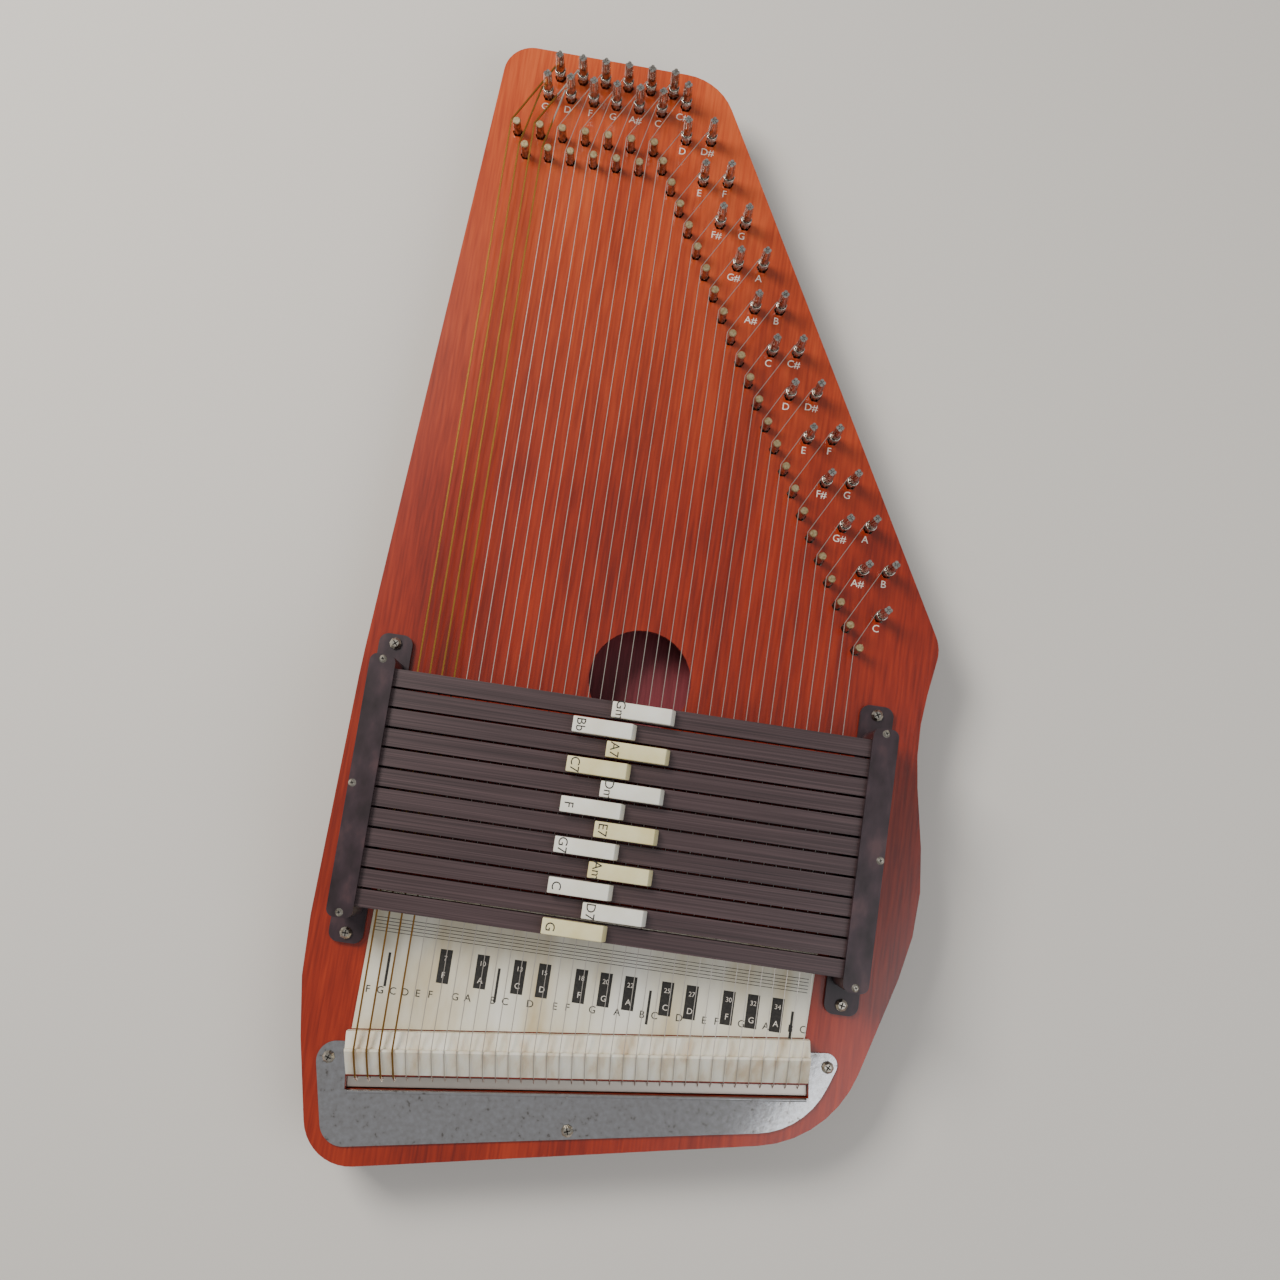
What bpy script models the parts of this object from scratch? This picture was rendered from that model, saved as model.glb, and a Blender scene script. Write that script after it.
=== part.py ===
"""A chorded zither with 36 strings and 12 chord bars, lying on its back.

Metres, +Z up. +Y runs along the strings towards the tuning pins, +X towards the treble side.
Sizes below are in millimetres, from the first string (x) and the sound hole's centre (y).
"""

import math

import bmesh
import bpy
from mathutils import Matrix, Vector

MM = 0.001
FIT_GAP = 0.3
CUT_OVERRUN = 2.0

STRING_COUNT = 36
STRING_PITCH = 6.35
WOUND_COUNT = 4
WOUND_RADIUS = 0.6
PLAIN_RADIUS = 0.25
STRING_SIDES = 4

FOOT_HEIGHT = 3.2
FOOT_RADIUS = 8.0
BACK_THICKNESS = 3.0
RIM_HEIGHT = 26.4
TOP_THICKNESS = 4.0
EDGE_ROUND = 2.4
ARC_STEP = math.radians(9)

SOUND_HOLE_RADIUS = 27.0
SOUND_HOLE_STRING = 19

BASS_RAIL_WIDTH = 22.0
PIN_BLOCK_MARGIN = 12.0

GUIDE_RADIUS = 2.2
GUIDE_HEIGHT = 13.0
GUIDE_ROW_LOW = 280.0
GUIDE_ROW_HIGH = 292.6
FIRST_DIAGONAL = 14
DIAGONAL_Y = 282.6
DIAGONAL_STEP = 11.35

TUNING_RADIUS = 2.5
TUNING_HEIGHT = 23.6
TUNING_SQUARE = 9.0
TUNING_ROW_LOW = 316.5
TUNING_ROW_HIGH = 328.3
TUNING_PAIR_Y = 302.5
PAIR_RISE = 1.6
PIN_SIDES = 8
STRING_END_HEIGHT = 8.0

BRIDGE_CREST_Y = -205.2
BRIDGE_SKEW = math.radians(6.9)
BRIDGE_MARGIN = 4.9
BRIDGE_CREST_HEIGHT = 10.7
BRIDGE_REAR = 8.8
BRIDGE_KNEE = 7.0
BRIDGE_FOOT = 13.0
BRIDGE_REAR_HEIGHT = 6.5
BRIDGE_KNEE_HEIGHT = 6.2
BRIDGE_FOOT_HEIGHT = 1.8

GROOVE_DEPTH = 8.0
GROOVE_START = 14.0
GROOVE_END = 20.5
ANCHOR_WIDTH = 5.0
ANCHOR_HEIGHT = 4.6

PLATE_THICKNESS = 1.0
PLATE_INSET = 11.0

BARS_BELOW_HOLE = 74.75
BAR_PITCH = 9.976
BAR_WIDTH = 8.8
BAR_HEIGHT = 9.0
BAR_WALL = 1.2
BAR_TOP_HEIGHT = 32.0
BAR_TRAVEL = 4.5
FELT_WIDTH = 6.0
FELT_BACKING = 1.8
FELT_NOTCH = 4.4

BUTTON_LENGTH = 32.2
BUTTON_WIDTH = 7.9
BUTTON_HEIGHT = 6.0
BUTTON_CHAMFER = 2.3
BUTTON_MIDDLE = 108.9
BUTTON_STAGGER = 18.3

BASS_HOLDER_OFFSET = 15.0
TREBLE_HOLDER_OFFSET = 18.0
FLANGE_WIDTH = 17.6
FLANGE_LENGTH = 160.0
FLANGE_THICKNESS = 2.5
FLANGE_CORNER = 5.0
TUB_WIDTH = 13.0
TUB_LENGTH = 131.0
TUB_CORNER = 4.0
TUB_OUTER_WALL = 3.4
SPRING_CELL = 7.2
COVER_THICKNESS = 2.5

SCREW_HEAD_RADIUS = 3.2
SCREW_HEAD_HEIGHT = 2.0
SCREW_RADIUS = 1.6
SCREW_LENGTH = 14.0
HOLDER_SCREW_INSET = 5.0

CHART_THICKNESS = 0.5
CHART_MARGIN = 3.1
CHART_TOP = -126.0

BACK_Z = FOOT_HEIGHT + FIT_GAP
RIM_Z = BACK_Z + BACK_THICKNESS + FIT_GAP
BOARD_Z = RIM_Z + RIM_HEIGHT + FIT_GAP
TOP_Z = BOARD_Z + TOP_THICKNESS
BAR_TOP_Z = TOP_Z + BAR_TOP_HEIGHT
BAR_BOTTOM_Z = BAR_TOP_Z - BAR_HEIGHT
LAST_STRING_X = (STRING_COUNT - 1) * STRING_PITCH
HOLE_X = (SOUND_HOLE_STRING - 1) * STRING_PITCH

# Corners of the body, clockwise from the bass corner by the pins: side it is measured from, x, y, radius.
BODY_CORNERS = (
    ("bass", -9.3, 343.9, 16),
    ("bass", 109.9, 341.2, 32),
    ("treble", 47.9, 41.1, 20),
    ("treble", 39.9, -8.9, 150),
    ("treble", 56.0, -99.4, 150),
    ("treble", 21.4, -217.9, 60),
    ("bass", -15.4, -267.1, 24),
    ("bass", -35.6, -174.4, 250),
    ("bass", -31.4, -12.0, 400),
)

NOTES = "F G C D E F F# G A A# B C C# D D# E F F# G G# A A# B C C# D D# E F F# G G# A A# B C".split()

# The chord bars in order from the tuning pins to the bridge: name, and the notes the bar lets ring.
CHORDS = (
    ("g_minor", "G A# D"),
    ("b_flat_major", "A# D F"),
    ("a_seventh", "A C# E G"),
    ("c_seventh", "C E G A#"),
    ("d_minor", "D F A"),
    ("f_major", "F A C"),
    ("e_seventh", "E G# B D"),
    ("g_seventh", "G B D F"),
    ("a_minor", "A C E"),
    ("c_major", "C E G"),
    ("d_seventh", "D F# A C"),
    ("g_major", "G B D"),
)

FEET = (("top", 30.0, 312.0), ("treble", 245.0, 40.0), ("tail", 20.0, -232.0))

WOOD = ((0.42, 0.09, 0.03), 0.35, 0.0)
DARK_WOOD = ((0.16, 0.06, 0.04), 0.5, 0.0)
PALE_WOOD = ((0.55, 0.38, 0.22), 0.7, 0.0)
STEEL = ((0.62, 0.6, 0.57), 0.25, 1.0)
BRASS = ((0.7, 0.56, 0.3), 0.3, 1.0)
IVORY = ((0.86, 0.82, 0.68), 0.35, 0.0)
BROWN = ((0.09, 0.055, 0.055), 0.45, 0.0)
FELT = ((0.3, 0.04, 0.05), 0.95, 0.0)
PAPER = ((0.8, 0.76, 0.62), 0.6, 0.0)
RUBBER = ((0.03, 0.03, 0.03), 0.8, 0.0)


def rounded(corners):
    """The closed outline through these (x, y, radius) corners, with each corner as an arc."""
    points = []
    for i, (x, y, radius) in enumerate(corners):
        here = Vector((x, y))
        before = (Vector(corners[i - 1][:2]) - here).normalized()
        after = (Vector(corners[(i + 1) % len(corners)][:2]) - here).normalized()
        turn = math.pi - before.angle(after)
        reach = radius * math.tan(turn / 2)
        start = here + before * reach
        middle = (before + after).normalized()
        centre = here + middle * math.hypot(radius, reach)
        steps = max(1, math.ceil(turn / ARC_STEP))
        arm = start - centre
        sense = 1 if before.cross(after) < 0 else -1
        for k in range(steps + 1):
            points.append(centre + Matrix.Rotation(sense * turn * k / steps, 2) @ arm)
    return points


def body_corners(inset=0.0):
    """The body's corners in millimetres, with treble ones measured from the last string."""
    shift = {"bass": 0.0, "treble": LAST_STRING_X}
    return [(shift[side] + x, y, radius) for side, x, y, radius in BODY_CORNERS]


OUTLINE = rounded(body_corners())
CENTRE = Vector(
    (
        (min(p.x for p in OUTLINE) + max(p.x for p in OUTLINE)) / 2,
        (min(p.y for p in OUTLINE) + max(p.y for p in OUTLINE)) / 2,
    )
)


def world(x, y, z):
    """A point of the instrument in metres, about the middle of its outline."""
    return Vector(((x - CENTRE.x) * MM, (y - CENTRE.y) * MM, z * MM))


def skewed(u, v):
    """x, y of a point u along the bridge from the first string, and v from its crest towards the tail."""
    along = Vector((math.cos(BRIDGE_SKEW), math.sin(BRIDGE_SKEW)))
    down = Vector((along.y, -along.x))
    start = Vector((0, BRIDGE_CREST_Y))
    return start + along * u + down * v


BRIDGE_LENGTH = LAST_STRING_X / math.cos(BRIDGE_SKEW)


def add(name, mesh, look, hidden=False):
    """An object from a bmesh, with its own material, or a hidden cutter."""
    bmesh.ops.recalc_face_normals(mesh, faces=mesh.faces)
    data = bpy.data.meshes.new(name)
    mesh.to_mesh(data)
    mesh.free()
    obj = bpy.data.objects.new(name, data)
    bpy.context.scene.collection.objects.link(obj)
    if hidden:
        obj.hide_render = True
        obj.display_type = "WIRE"
        return obj
    colour, rough, metal = look
    material = bpy.data.materials.new(name)
    material.use_nodes = True
    shader = material.node_tree.nodes["Principled BSDF"]
    shader.inputs["Base Color"].default_value = (*colour, 1)
    shader.inputs["Roughness"].default_value = rough
    shader.inputs["Metallic"].default_value = metal
    data.materials.append(material)
    return obj


def put_prism(mesh, points, low, high):
    """Adds an upright prism over these x, y points, and returns its top and bottom faces."""
    base = [mesh.verts.new(world(p[0], p[1], low)) for p in points]
    top = [mesh.verts.new(world(p[0], p[1], high)) for p in points]
    bottom_face = mesh.faces.new(list(reversed(base)))
    top_face = mesh.faces.new(top)
    for i in range(len(points)):
        j = (i + 1) % len(points)
        mesh.faces.new((base[i], base[j], top[j], top[i]))
    return top_face, bottom_face


def put_section(mesh, ring_a, ring_b):
    """Adds a closed body between two rings of points of equal count."""
    a = [mesh.verts.new(p) for p in ring_a]
    b = [mesh.verts.new(p) for p in ring_b]
    mesh.faces.new(a)
    mesh.faces.new(list(reversed(b)))
    for i in range(len(a)):
        j = (i + 1) % len(a)
        mesh.faces.new((a[i], b[i], b[j], a[j]))


def circle(x, y, radius, sides):
    """Points of a regular polygon around x, y."""
    return [
        Vector((x + radius * math.cos(2 * math.pi * k / sides), y + radius * math.sin(2 * math.pi * k / sides)))
        for k in range(sides)
    ]


def box_points(x0, x1, y0, y1):
    """The four corners of an upright box."""
    return [(x0, y0), (x1, y0), (x1, y1), (x0, y1)]


def put_turned(mesh, x, y, profile, sides=PIN_SIDES):
    """Adds a turned body at x, y from (radius, z) pairs, from its bottom to its top."""
    rings = []
    for radius, z in profile:
        rings.append([mesh.verts.new(world(p.x, p.y, z)) for p in circle(x, y, radius, sides)])
    mesh.faces.new(list(reversed(rings[0])))
    mesh.faces.new(rings[-1])
    for low, high in zip(rings, rings[1:]):
        for i in range(sides):
            j = (i + 1) % sides
            mesh.faces.new((low[i], low[j], high[j], high[i]))


def boolean(obj, other, operation):
    """Cuts obj by other, or joins them."""
    step = obj.modifiers.new(operation.lower(), "BOOLEAN")
    step.operation = operation
    step.object = other
    step.solver = "EXACT"


def cutter(name, fill):
    """A hidden object whose bodies are made by fill(mesh)."""
    mesh = bmesh.new()
    fill(mesh)
    return add(name, mesh, None, hidden=True)


def string_radius(i):
    """Radius of string i, counted from 1 at the bass side."""
    return WOUND_RADIUS if i <= WOUND_COUNT else PLAIN_RADIUS


def string_x(i):
    """x of string i."""
    return (i - 1) * STRING_PITCH


def guide_pin(i):
    """Centre of the pin that string i bends around."""
    x = string_x(i) + GUIDE_RADIUS + string_radius(i) + FIT_GAP
    if i >= FIRST_DIAGONAL:
        return Vector((x, DIAGONAL_Y - DIAGONAL_STEP * (i - FIRST_DIAGONAL)))
    return Vector((x, GUIDE_ROW_HIGH if i % 2 else GUIDE_ROW_LOW))


def tuning_pin(i):
    """Centre of the tuning pin of string i: two rows at the top, then pairs down the slanted side."""
    if i >= FIRST_DIAGONAL:
        pair, right = divmod(i - FIRST_DIAGONAL, 2)
        x = string_x(i) + (20.8 if right else 13.35)
        return Vector((x, TUNING_PAIR_Y - 2 * DIAGONAL_STEP * pair + right * PAIR_RISE))
    if i == FIRST_DIAGONAL - 1:
        return Vector((string_x(i) + 16.8, (TUNING_ROW_LOW + TUNING_ROW_HIGH) / 2))
    if i % 2:
        return Vector((string_x(i) + 21.6, TUNING_ROW_HIGH))
    return Vector((string_x(i) + 10.35, TUNING_ROW_LOW))


def holder_x(side):
    """x of the middle of one bar holder."""
    return -BASS_HOLDER_OFFSET if side == "bass" else LAST_STRING_X + TREBLE_HOLDER_OFFSET


def holder_outward(side):
    """The direction in x away from the strings."""
    return -1 if side == "bass" else 1


def bar_y(k):
    """y of the middle of bar k, counted from 0 at the pin end."""
    middle = (len(CHORDS) - 1) / 2
    return -BARS_BELOW_HOLE + (middle - k) * BAR_PITCH


def holder_screws():
    """Centres of the screws through the holders' ends."""
    reach = FLANGE_LENGTH / 2 - HOLDER_SCREW_INSET
    for side in ("bass", "treble"):
        for end, sign in (("upper", 1), ("lower", -1)):
            yield f"{side}_{end}", holder_x(side), -BARS_BELOW_HOLE + sign * reach


def plate_screws():
    """Centres of the screws through the metal plate."""
    yield "bass", -13.2, -211.5
    yield "middle", LAST_STRING_X / 2, -230.5
    yield "treble", LAST_STRING_X + 15.2, -181.5


def fill_screw_holes(mesh):
    """Holes for every wood screw, through the parts it holds and into the wood."""
    spots = list(holder_screws()) + list(plate_screws())
    for _, x, y in spots:
        low = TOP_Z - SCREW_LENGTH - FIT_GAP
        put_prism(mesh, circle(x, y, SCREW_RADIUS + FIT_GAP, PIN_SIDES), low, TOP_Z + FLANGE_THICKNESS + CUT_OVERRUN)


def fill_pin_holes(mesh):
    """Holes in the soundboard for both pins of every string."""
    for i in range(1, STRING_COUNT + 1):
        for centre, radius in ((guide_pin(i), GUIDE_RADIUS), (tuning_pin(i), TUNING_RADIUS)):
            clear = (radius + FIT_GAP) / math.cos(math.pi / 6)
            put_prism(mesh, circle(*centre, clear, 6), BOARD_Z - CUT_OVERRUN, TOP_Z + CUT_OVERRUN)


def fill_groove(mesh):
    """The groove across the tail, in which the strings are anchored."""
    ends = (-BRIDGE_MARGIN, BRIDGE_LENGTH + BRIDGE_MARGIN)
    corners = [skewed(u, v) for u, v in ((ends[0], GROOVE_START), (ends[1], GROOVE_START))]
    corners += [skewed(u, v) for u, v in ((ends[1], GROOVE_END), (ends[0], GROOVE_END))]
    put_prism(mesh, corners, TOP_Z - GROOVE_DEPTH, TOP_Z + PLATE_THICKNESS + CUT_OVERRUN)


def fill_bridge_seat(mesh):
    """The opening in the metal plate for the bridge and the strings behind it."""
    low = -BRIDGE_REAR - CUT_OVERRUN
    ends = (-BRIDGE_MARGIN - FIT_GAP, BRIDGE_LENGTH + BRIDGE_MARGIN + FIT_GAP)
    corners = [skewed(u, v) for u, v in ((ends[0], low), (ends[1], low))]
    corners += [skewed(u, v) for u, v in ((ends[1], GROOVE_END), (ends[0], GROOVE_END))]
    put_prism(mesh, corners, TOP_Z - CUT_OVERRUN, TOP_Z + PLATE_THICKNESS + CUT_OVERRUN)


def make_soundboard(screw_holes, groove):
    """The top: a plate with a rounded rim, a round sound hole and a hole for every pin."""
    mesh = bmesh.new()
    top_face, _ = put_prism(mesh, OUTLINE, BOARD_Z, TOP_Z)
    bmesh.ops.bevel(mesh, geom=list(top_face.edges), offset=EDGE_ROUND * MM, segments=2, affect="EDGES", profile=0.5)
    board = add("soundboard", mesh, WOOD)
    hole = circle(HOLE_X, 0, SOUND_HOLE_RADIUS, 32)
    boolean(board, cutter("sound_hole_cut", lambda m: put_prism(m, hole, BOARD_Z - CUT_OVERRUN, TOP_Z + CUT_OVERRUN)), "DIFFERENCE")
    boolean(board, cutter("pin_holes_cut", fill_pin_holes), "DIFFERENCE")
    boolean(board, screw_holes, "DIFFERENCE")
    boolean(board, groove, "DIFFERENCE")
    return board


def make_back():
    """The back panel, with its lower edge rounded."""
    mesh = bmesh.new()
    _, bottom_face = put_prism(mesh, OUTLINE, BACK_Z, BACK_Z + BACK_THICKNESS)
    bmesh.ops.bevel(mesh, geom=list(bottom_face.edges), offset=1.5 * MM, segments=1, affect="EDGES")
    add("back_panel", mesh, DARK_WOOD)


def rim_piece(name, region, look):
    """One piece of the rim: the body's outline limited to a region."""
    mesh = bmesh.new()
    put_prism(mesh, OUTLINE, RIM_Z, RIM_Z + RIM_HEIGHT)
    piece = add(name, mesh, look)
    limit = cutter(name + "_region", lambda m: put_prism(m, region, RIM_Z - CUT_OVERRUN, RIM_Z + RIM_HEIGHT + CUT_OVERRUN))
    boolean(piece, limit, "INTERSECT")
    return piece


def make_rim(screw_holes, groove):
    """The rim under the soundboard: pin block, two rails and tail block, butted with a fine joint."""
    row = GUIDE_ROW_LOW - PIN_BLOCK_MARGIN
    upper = Vector((guide_pin(FIRST_DIAGONAL).x - PIN_BLOCK_MARGIN, row))
    lower = guide_pin(STRING_COUNT) + Vector((-PIN_BLOCK_MARGIN, -PIN_BLOCK_MARGIN + 4))
    far = 400.0
    block_end = lower + Vector((far, -90))
    pins = [(-far, row), upper, lower, block_end, (far * 2, far), (-far, far)]
    block = rim_piece("pin_block", pins, PALE_WOOD)
    rail_x = -31.4 + BASS_RAIL_WIDTH
    tail_bass = skewed(-far, -BRIDGE_REAR - 6)
    tail_treble = skewed(far * 2, -BRIDGE_REAR - 6)
    tail = [tail_treble, tail_bass, (-far, -far), (far * 2, -far)]
    tail_block = rim_piece("tail_block", tail, PALE_WOOD)
    gap = Vector((0, FIT_GAP))
    rail_at = lambda x: tail_bass + (tail_treble - tail_bass) * ((x - tail_bass.x) / (tail_treble.x - tail_bass.x))
    bass = [rail_at(-far) + gap, rail_at(rail_x) + gap, (rail_x, row - FIT_GAP), (-far, row - FIT_GAP)]
    rim_piece("bass_rail", bass, DARK_WOOD)
    treble_x = LAST_STRING_X + 11.0
    joint = lambda x: lower + (block_end - lower) * ((x - lower.x) / (block_end.x - lower.x)) - gap
    treble = [rail_at(treble_x) + gap, rail_at(far) + gap, joint(far), joint(treble_x)]
    rim_piece("treble_rail", treble, DARK_WOOD)
    for name in ("bass_rail", "treble_rail", "tail_block"):
        boolean(bpy.data.objects[name], screw_holes, "DIFFERENCE")
    boolean(tail_block, groove, "DIFFERENCE")
    boolean(block, cutter("pins", fill_pins), "UNION")


def fill_pins(mesh):
    """Guide pins and square-headed tuning pins, driven into the block."""
    foot = RIM_Z + RIM_HEIGHT - 6.0
    for i in range(1, STRING_COUNT + 1):
        put_turned(mesh, *guide_pin(i), ((GUIDE_RADIUS, foot), (GUIDE_RADIUS, TOP_Z + GUIDE_HEIGHT)))
        shoulder = TOP_Z + TUNING_HEIGHT - TUNING_SQUARE
        profile = ((TUNING_RADIUS, foot), (TUNING_RADIUS, shoulder), (TUNING_RADIUS * 0.72, TOP_Z + TUNING_HEIGHT))
        put_turned(mesh, *tuning_pin(i), profile)


def make_bridge():
    """The moulded bridge: a ramp up to the crest, then two faces down to the groove."""
    floor = TOP_Z + FIT_GAP
    profile = (
        (-BRIDGE_REAR, floor),
        (-BRIDGE_REAR, TOP_Z + BRIDGE_REAR_HEIGHT),
        (-0.8, TOP_Z + BRIDGE_REAR_HEIGHT + 2.0),
        (-0.6, TOP_Z + BRIDGE_CREST_HEIGHT),
        (0.6, TOP_Z + BRIDGE_CREST_HEIGHT),
        (BRIDGE_KNEE, TOP_Z + BRIDGE_KNEE_HEIGHT),
        (BRIDGE_FOOT, TOP_Z + BRIDGE_FOOT_HEIGHT),
        (BRIDGE_FOOT, floor),
    )
    mesh = bmesh.new()
    ends = (-BRIDGE_MARGIN, BRIDGE_LENGTH + BRIDGE_MARGIN)
    rings = [[world(*skewed(u, v), z) for v, z in profile] for u in ends]
    put_section(mesh, *rings)
    add("bridge", mesh, IVORY)


def make_plate(screw_holes):
    """The chromed tail plate, cut out around the bridge and the anchor groove."""
    corners = [
        (-21.5, -204.5, 10),
        (LAST_STRING_X + 23.0, -173.5, 6),
        (LAST_STRING_X + 8.0, -214.5, 42),
        (-9.5, -255.5, 12),
    ]
    mesh = bmesh.new()
    put_prism(mesh, rounded(corners), TOP_Z + FIT_GAP, TOP_Z + FIT_GAP + PLATE_THICKNESS)
    plate = add("tailpiece_plate", mesh, STEEL)
    boolean(plate, cutter("bridge_seat_cut", fill_bridge_seat), "DIFFERENCE")
    boolean(plate, screw_holes, "DIFFERENCE")


def string_path(i):
    """Points of string i, from its anchor over the bridge and round its guide pin to its tuning pin."""
    radius = string_radius(i)
    lift = radius + FIT_GAP
    u = string_x(i) / math.cos(BRIDGE_SKEW)
    anchor_top = TOP_Z - GROOVE_DEPTH + FIT_GAP + ANCHOR_HEIGHT
    anchor_v = (GROOVE_START + GROOVE_END) / 2
    crest = TOP_Z + BRIDGE_CREST_HEIGHT + lift
    points = [
        world(*skewed(u, anchor_v), anchor_top - 1.5),
        world(*skewed(u, BRIDGE_FOOT + lift), TOP_Z + BRIDGE_FOOT_HEIGHT + lift),
        world(*skewed(u, BRIDGE_KNEE + lift * 0.6), TOP_Z + BRIDGE_KNEE_HEIGHT + lift),
        world(*skewed(u, 0.6), crest),
        world(*skewed(u, -0.6), crest),
    ]
    guide, tuner = guide_pin(i), tuning_pin(i)
    near = GUIDE_RADIUS + lift
    end = TUNING_RADIUS + lift
    apart = tuner - guide
    lean = math.atan2(apart.x, apart.y) + math.asin((near - end) / apart.length)
    half = lean / 2
    bend = guide + Vector((-math.cos(half), math.sin(half))) * (near / math.cos(half))
    finish = tuner + Vector((-math.cos(lean), math.sin(lean))) * end
    points.append(world(bend.x, bend.y, crest))
    points.append(world(finish.x, finish.y, TOP_Z + STRING_END_HEIGHT))
    return points


def put_wire(mesh, points, radius):
    """Adds a tube of STRING_SIDES sides along these points."""
    rings = []
    for i, point in enumerate(points):
        into = (point - points[i - 1]).normalized() if i else (points[1] - point).normalized()
        out = (points[i + 1] - point).normalized() if i < len(points) - 1 else into
        tangent = (into + out).normalized()
        side = tangent.cross(Vector((1, 0, 0)).cross(tangent)).normalized()
        side = (Vector((1, 0, 0)) - tangent * tangent.x).normalized()
        other = tangent.cross(side)
        stretch = 1 / max(0.5, into.dot(tangent))
        ring = []
        for k in range(STRING_SIDES):
            angle = 2 * math.pi * (k + 0.5) / STRING_SIDES
            offset = side * math.cos(angle) + other * math.sin(angle) * stretch
            ring.append(mesh.verts.new(point + offset * radius * MM))
        rings.append(ring)
    mesh.faces.new(list(reversed(rings[0])))
    mesh.faces.new(rings[-1])
    for low, high in zip(rings, rings[1:]):
        for k in range(STRING_SIDES):
            j = (k + 1) % STRING_SIDES
            mesh.faces.new((low[k], low[j], high[j], high[k]))


def make_strings():
    """The 36 strings, hooked in one anchor bar that lies in the groove."""
    middle = (GROOVE_START + GROOVE_END) / 2
    low = TOP_Z - GROOVE_DEPTH + FIT_GAP
    ends = (-BRIDGE_MARGIN + FIT_GAP, BRIDGE_LENGTH + BRIDGE_MARGIN - FIT_GAP)
    sides = (middle - ANCHOR_WIDTH / 2, middle + ANCHOR_WIDTH / 2)
    corners = [skewed(u, sides[0]) for u in ends] + [skewed(u, sides[1]) for u in reversed(ends)]
    mesh = bmesh.new()
    put_prism(mesh, corners, low, low + ANCHOR_HEIGHT)
    bar = add("string_set", mesh, BRASS)

    def fill(wires):
        for i in range(1, STRING_COUNT + 1):
            put_wire(wires, string_path(i), string_radius(i))

    boolean(bar, cutter("string_wires", fill), "UNION")


def make_bar(k, name):
    """One chord bar: a hollow rectangular extrusion that runs into both holders."""
    y = bar_y(k)
    ends = [holder_x(side) + holder_outward(side) * (TUB_WIDTH / 2 - TUB_OUTER_WALL - FIT_GAP) for side in ("bass", "treble")]
    half = BAR_WIDTH / 2
    inner = half - BAR_WALL
    outer_ring = ((-half, BAR_BOTTOM_Z), (half, BAR_BOTTOM_Z), (half, BAR_TOP_Z), (-half, BAR_TOP_Z))
    low, high = BAR_BOTTOM_Z + BAR_WALL, BAR_TOP_Z - BAR_WALL
    inner_ring = ((-inner, low), (inner, low), (inner, high), (-inner, high))
    mesh = bmesh.new()
    rings = [[[mesh.verts.new(world(x, y + dy, z)) for dy, z in ring] for ring in (outer_ring, inner_ring)] for x in ends]
    for i in range(4):
        j = (i + 1) % 4
        mesh.faces.new((rings[0][0][i], rings[1][0][i], rings[1][0][j], rings[0][0][j]))
        mesh.faces.new((rings[0][1][i], rings[0][1][j], rings[1][1][j], rings[1][1][i]))
        for outer, hollow in rings:
            mesh.faces.new((outer[i], outer[j], hollow[j], hollow[i]))
    add("chord_bar_" + name, mesh, BROWN)


def make_button(k, name):
    """The cream button on a chord bar, with its treble end sloped."""
    y = bar_y(k)
    middle = BUTTON_MIDDLE + (BUTTON_STAGGER / 2 if k % 2 == 0 else -BUTTON_STAGGER / 2)
    x0, x1 = middle - BUTTON_LENGTH / 2, middle + BUTTON_LENGTH / 2
    z0 = BAR_TOP_Z + FIT_GAP
    z1 = z0 + BUTTON_HEIGHT
    profile = ((x0, z0), (x1, z0), (x1, z0 + 2.5), (x1 - BUTTON_CHAMFER, z1), (x0, z1))
    mesh = bmesh.new()
    put_section(mesh, *[[world(x, y + s * BUTTON_WIDTH / 2, z) for x, z in profile] for s in (-1, 1)])
    add("button_" + name, mesh, IVORY)


def make_felt(k, name, tones):
    """The felt under a chord bar, notched over each string that the chord lets ring."""
    y = bar_y(k)
    z1 = BAR_BOTTOM_Z - FIT_GAP
    z0 = TOP_Z + BRIDGE_CREST_HEIGHT + 2 * WOUND_RADIUS + 2 * FIT_GAP + BAR_TRAVEL
    notch = z1 - FELT_BACKING
    profile = [(LAST_STRING_X + STRING_PITCH / 2, z1), (-STRING_PITCH / 2, z1), (-STRING_PITCH / 2, z0)]
    for i in range(1, STRING_COUNT + 1):
        if NOTES[i - 1] in tones:
            x = string_x(i)
            low, high = x - FELT_NOTCH / 2, x + FELT_NOTCH / 2
            profile += [(low, z0), (low, notch), (high, notch), (high, z0)]
    profile.append((LAST_STRING_X + STRING_PITCH / 2, z0))
    mesh = bmesh.new()
    put_section(mesh, *[[world(x, y + s * FELT_WIDTH / 2, z) for x, z in profile] for s in (-1, 1)])
    add("felt_" + name, mesh, FELT)


def rounded_box(x, y, width, length, corner):
    """A rounded rectangle around x, y."""
    w, h = width / 2, length / 2
    return rounded([(x - w, y + h, corner), (x + w, y + h, corner), (x + w, y - h, corner), (x - w, y - h, corner)])


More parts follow.
